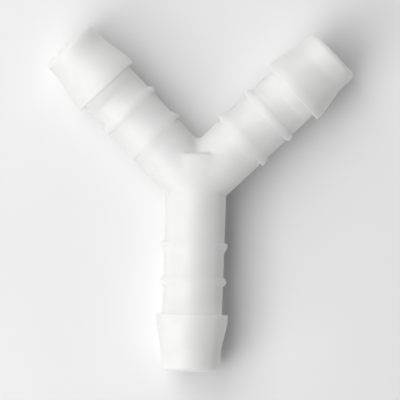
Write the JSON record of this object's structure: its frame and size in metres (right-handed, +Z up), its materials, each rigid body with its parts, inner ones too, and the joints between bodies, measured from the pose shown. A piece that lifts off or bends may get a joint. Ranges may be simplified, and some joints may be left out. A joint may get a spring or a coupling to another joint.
{
  "type": "tubing y connector",
  "caption": "Moulded plastic Y connector for flexible tubing: a stem and branches set at a right angle, each with a barbed hose end, and bores that meet at the crossing.",
  "frame": {"origin": "where the axes of the three arms cross, inside the joined bores", "axes": "the Y lies flat in the XY plane with +Z up; the stem points along -Y and the branches point 45 degrees to each side of +Y"},
  "size_m": [0.0488, 0.0546, 0.0114],
  "materials": {
    "white_plastic": "natural white moulded plastic, satin, slightly translucent"
  },
  "bodies": {
    "root": {"fitting_body": "white_plastic"}
  },
  "joints": []
}
